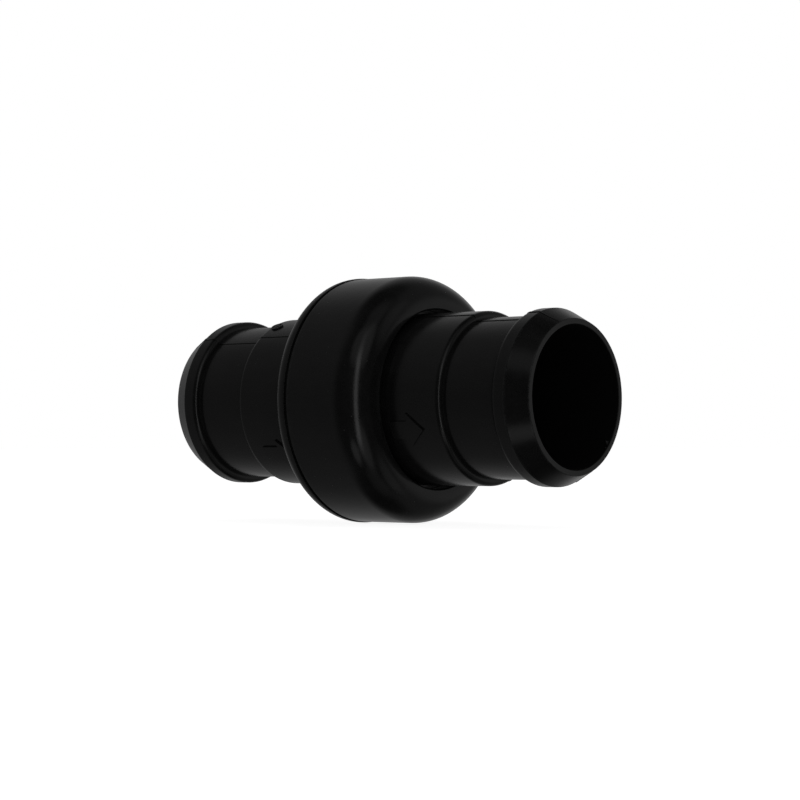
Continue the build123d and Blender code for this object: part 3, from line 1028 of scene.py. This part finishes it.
@dataclass
class HousingCup:
    """Round-nosed cup over the ball race."""

    tail: HoseTail
    back: float = reach_of("housing_cup")[0]
    front: float = reach_of("housing_cup")[1]
    outside: float = radius_of("housing_cup")
    bore: float = radius_of("race_ring") + 0.05
    collar: float = radius_of("thrust_washer") + 0.1
    ball_x: float = sum(reach_of("race_balls")) / 2
    mouth_gap: float = 0.5
    mouth_edge: float = 0.25

    def outline(self) -> List[Corner]:
        """Closed outline of the turned shape, with the outer ball race."""
        mouth = self.tail.barb + self.mouth_gap
        nose = self.outside - mouth - self.mouth_edge - 0.05
        groove = self.bore - self.collar + 0.1 - 0.5
        relief = self.ball_x + math.sqrt(groove ** 2 - 0.5 ** 2) + 0.47
        half = math.degrees(math.asin(0.4 / groove))
        race = arc(self.ball_x, self.collar + 0.4, groove, 90, -half, 12)
        return [
            Corner(self.back, self.bore),
            Corner(self.back, self.outside, 0.06),
            Corner(self.front - nose, self.outside),
            *arc(self.front - nose, self.outside - nose, nose, 85, 5, 22),
            Corner(self.front, self.outside - nose),
            Corner(self.front, mouth, self.mouth_edge),
            Corner(relief, mouth, 0.08),
            Corner(relief, self.collar),
            *reversed(race),
        ]

    def build(self, material: bpy.types.Material) -> bpy.types.Object:
        """Models and dresses the cup."""
        piece = turned("housing_cup_moulding", self.outline(), steps=240)
        smooth(piece)
        dress(piece, material)
        settle(piece, "housing", "black_nylon", "housing_cup")
        return piece


@dataclass
class ReturnSpring:
    """Compression spring with closed and ground ends."""

    start: float = reach_of("return_spring")[0]
    end: float = reach_of("return_spring")[1]
    outside: float = radius_of("return_spring")
    wire: float = 0.275
    coils: int = 4
    lift: float = 3.25

    def coil(self, x: float, turns: int, advance: float) -> bpy.types.Object:
        """One stretch of helix, from a circle of wire by a Screw modifier."""
        clear()
        bpy.ops.mesh.primitive_circle_add(
            vertices=14, radius=self.wire * MM, rotation=(math.pi / 2, 0, 0),
            location=(x * MM, 0, (self.outside - self.wire) * MM),
        )
        piece = bpy.context.object
        bpy.ops.object.transform_apply(location=True, rotation=True, scale=True)
        modifier = piece.modifiers.new("wind", "SCREW")
        modifier.axis = "X"
        modifier.angle = TURN * turns
        modifier.screw_offset = advance * MM
        modifier.steps = modifier.render_steps = 48 * turns
        modifier.use_merge_vertices = False
        bpy.ops.object.modifier_apply(modifier=modifier.name)
        return piece

    def build(self, material: bpy.types.Material) -> bpy.types.Object:
        """Models and dresses the spring."""
        closed = 2 * self.wire * 1.03
        first = self.start + self.wire * 0.5
        last = self.end - self.wire * 0.5
        open_length = last - first - 2 * closed
        parts = [
            self.coil(first, 1, closed),
            self.coil(first + closed, self.coils, open_length),
            self.coil(last - closed, 1, closed),
        ]
        piece = together(parts)
        piece.name = piece.data.name = "return_spring_coil"
        choose(piece)
        bpy.ops.object.mode_set(mode="EDIT")
        bpy.ops.mesh.select_all(action="SELECT")
        bpy.ops.mesh.remove_doubles(threshold=MM * 0.004)
        for plane_x, side in ((self.start, -1), (self.end, 1)):
            bpy.ops.mesh.select_all(action="SELECT")
            bpy.ops.mesh.bisect(
                plane_co=(plane_x * MM, 0, 0), plane_no=(side, 0, 0),
                clear_outer=True, use_fill=True,
            )
        bpy.ops.mesh.select_all(action="DESELECT")
        bpy.ops.mesh.select_non_manifold()
        bpy.ops.mesh.fill()
        close_doubles()
        clear()
        smooth(piece, 50.0)
        dress(piece, material)
        settle(piece, "housing", "stainless", "return_spring")
        length = self.end - self.start
        (length - self.lift) / length
        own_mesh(piece)
        return piece


@dataclass
class InnerWorks:
    """Finishes for the inner pieces that keep their own shapes."""

    def build(self) -> None:
        """Dresses each inner node of the frame."""
        rubber = Rubber("o_ring_rubber").material()
        washer = Rubber("valve_washer_rubber", (0.11, 0.018, 0.012), (0.20, 0.05, 0.04)).material()
        acetal = Acetal("hard_white_plastic").material()
        ball = Stainless("polished_ball_steel", rough=0.1, lines=0.15).material()
        plate = Stainless("turned_plate_steel", rough=0.24, lines=0.6, stretch=(3.0, 1.0)).material()
        guide = MouldedBlack("moulded_black_guide", dark=0.010, light=0.018, gloss=0.32).material()
        finishes = {
            "race_balls": ball,
            "seal_retainer": plate,
            "retainer_screw": plate,
            "stem_clip": plate,
            "poppet_seal": washer,
            "guide_cage": guide,
            "poppet": guide,
        }
        for node in ("body_seal", "swivel_seal", "carrier_seal", "seat_ring_seal"):
            finishes[node] = rubber
        for node in ("race_ring", "seal_carrier", "thrust_washer", "seat_ring", "guide_bush"):
            finishes[node] = acetal
        for node, material in finishes.items():
            dress(frame["nodes"][node], material)
            log.info("%s is finished in %s", node, material.name)


# ------------------------------------------------------------------ studio


@dataclass(frozen=True)
class SoftBox:
    """A round soft light in the tent, or a dark flag where its power is negative."""

    azimuth: float
    elevation: float
    reach: float
    fade: float
    power: float


BOXES = (
    SoftBox(21, -44, 7, 6, 0.30),
    SoftBox(60, -33, 11, 9, 0.20),
    SoftBox(33, 43, 12, 9, 0.17),
    SoftBox(62, 37, 12, 9, 0.19),
    SoftBox(72, 64, 8, 14, 0.09),
    SoftBox(76, -62, 6, 16, 0.07),
    SoftBox(110, 34, 6, 12, 0.09),
    SoftBox(108, -33, 6, 10, 0.12),
    SoftBox(143, 0, 10, 24, 0.13),
    SoftBox(-155, 15, 8, 14, 0.12),
    SoftBox(-155, -15, 8, 14, 0.12),
    SoftBox(-172, 62, 12, 30, -0.02),
    SoftBox(-172, -62, 12, 30, -0.015),
)


@dataclass
class Studio:
    """Pale floor, soft white tent and the camera."""

    floor_z: float = -radius_of("inlet_tail") - 0.02
    azimuth: float = 40.4
    elevation: float = -1.08
    distance: float = 310.9
    aim: float = 1.25
    side: float = -0.27
    focal: float = 103.2
    strip_azimuth: float = 47.0

    def camera(self) -> None:
        """Places the camera at its angle round the flow axis."""
        turn, rise = math.radians(self.azimuth), math.radians(self.elevation)
        back = Vector((
            math.sin(turn) * math.cos(rise), -math.cos(turn) * math.cos(rise), math.sin(rise),
        ))
        right = Vector((math.cos(turn), math.sin(turn), 0.0))
        data = bpy.data.cameras.new("camera")
        data.lens, data.sensor_width = self.focal, 36.0
        data.clip_start, data.clip_end = 0.01, 20.0
        made = bpy.data.objects.new("camera", data)
        bpy.context.scene.collection.objects.link(made)
        made.location = (Vector((self.aim, 0, 0)) + back * self.distance - right * self.side) * MM
        made.rotation_mode = "QUATERNION"
        made.rotation_quaternion = (-back).to_track_quat("-Z", "Y")
        bpy.context.scene.camera = made

    def floor(self) -> None:
        """Lays the pale floor, which glows a little so that its shadow stays soft."""
        clear()
        bpy.ops.mesh.primitive_plane_add(size=6.0, location=(0, 0, self.floor_z * MM))
        floor = bpy.context.object
        floor.name = "pale_floor"
        floor.visible_glossy = False
        floor.visible_diffuse = False
        floor.visible_shadow = False
        made = bpy.data.materials.new("pale_floor")
        made.use_nodes = True
        board = Board(made.node_tree)
        shader = board.node(
            "ShaderNodeBsdfPrincipled",
            {},
            {
                "Base Color": (0.9, 0.9, 0.9, 1.0), "Roughness": 0.9, "Specular IOR Level": 0.0,
                "Emission Color": (1.0, 1.0, 1.0, 1.0), "Emission Strength": 0.92,
            },
        )
        end = board.node("ShaderNodeOutputMaterial")
        board.tree.links.new(shader.outputs["BSDF"], end.inputs["Surface"])
        floor.data.materials.append(made)

    def toward(self, azimuth: float, elevation: float = 0.0) -> Vector:
        """Unit vector to a place in the tent; azimuth 0 is -Y and 90 is +X."""
        a, e = math.radians(azimuth), math.radians(elevation)
        return Vector((math.sin(a) * math.cos(e), -math.cos(a) * math.cos(e), math.sin(e)))

    def tent(self) -> None:
        """Fills the world with a soft tent: bright behind, dim in front, a tall light beside."""
        world = bpy.data.worlds.new("tent")
        bpy.context.scene.world = world
        world.use_nodes = True
        board = Board(world.node_tree)
        way = board.out(board.node("ShaderNodeTexCoord"), "Generated")

        def along(direction: Vector) -> Wire:
            """How far the looking direction agrees with another one."""
            node = board.node(
                "ShaderNodeVectorMath", {"operation": "DOT_PRODUCT"}, {0: way, 1: direction[:]}
            )
            return board.out(node, "Value")

        up = along(Vector((0, 0, 1))).size()
        behind = along(self.toward(-140))
        level = 0.03 + board.ease(behind, -0.55, 0.0) * 0.075
        level = level + board.ease(behind, 0.4, 1.0) * 0.14
        level = level * (1.0 - board.ease(up, 0.78, 0.96) * 0.7)
        beside = along(self.toward(self.strip_azimuth + 90)).size()
        facing = board.ease(along(self.toward(self.strip_azimuth)), 0.0, 0.2)
        strip = (1.0 - board.ease(beside, 0.09, 0.12)) * facing * (1.0 - board.ease(up, 0.4, 0.7))
        level = level + strip * 0.8
        for box in BOXES:
            near = math.cos(math.radians(box.reach))
            far = math.cos(math.radians(box.reach + box.fade))
            spot = along(self.toward(box.azimuth, box.elevation))
            level = level + board.ease(spot, far, near) * box.power
        seen = board.out(board.node("ShaderNodeLightPath"), "Is Camera Ray")
        strength = level * (1.0 - seen) + seen * 1.0
        back = board.node("ShaderNodeBackground", {}, {"Strength": strength})
        end = board.node("ShaderNodeOutputWorld")
        board.tree.links.new(back.outputs[0], end.inputs["Surface"])
        back.inputs["Color"].default_value = (1.0, 1.0, 1.0, 1.0)

    def lamps(self) -> None:
        """Adds one weak overhead softbox, which shapes the shadow under the piece."""
        data = bpy.data.lights.new("overhead", "AREA")
        data.shape, data.size, data.energy = "DISK", 0.5, 0.35
        lamp = bpy.data.objects.new("overhead", data)
        lamp.visible_glossy = False
        bpy.context.scene.collection.objects.link(lamp)
        lamp.location = (-0.05, 0.12, 0.6)
        lamp.rotation_mode = "QUATERNION"
        lamp.rotation_quaternion = (-Vector(lamp.location)).to_track_quat("-Z", "Y")

    def build(self) -> None:
        """Sets up floor, light and camera."""
        self.floor()
        self.tent()
        self.lamps()
        self.camera()
        bpy.context.scene.view_settings.view_transform = "Standard"


def main() -> None:
    """Builds the looks round the frame, piece by piece."""
    logging.basicConfig(level=logging.INFO, format="%(name)s: %(message)s")
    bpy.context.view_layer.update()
    tail = HoseTail(
        end=reach_of("outlet_tail")[1],
        bore=mount_radius("outlet_bore"),
        neck=mount_radius("outlet_hose_seat"),
        barb=mount_radius("outlet_barb"),
    )
    inlet, outlet, cup = InletTail(tail), OutletTail(tail), HousingCup(tail)
    # edges whose colour is lightened, partly as real wear and partly as a painted highlight
    tail_edges = [
        (tail.neck_end + tail.land, tail.barb), (tail.end, tail.face), (tail.end, tail.bore),
    ]
    inlet_edges = [(-x, r) for x, r in tail_edges] + [(inlet.joint - 1.6, inlet.flange - 0.1)]
    cup_edges = [(cup.front, tail.barb + 0.6), (cup.back + 0.2, cup.outside)]
    # bore: within this radius the colour is painted near-black as painted shade
    moulded = MouldedBlack("moulded_black_inlet", bore=tail.bore, edges=inlet_edges, swell=0.0085)
    inlet.build(replace(moulded, parting=inlet.parting).material())
    outlet.build(replace(moulded, name="moulded_black_outlet", edges=tail_edges).material())
    cup.build(MouldedBlack("moulded_black_cup", edges=cup_edges, gloss=0.17, swell=0.006).material())
    ReturnSpring().build(Stainless("drawn_spring_wire", rough=0.22, stretch=(1.0, 1.0)).material())
    InnerWorks().build()
    Studio().build()


if __name__ == "__main__":
    main()
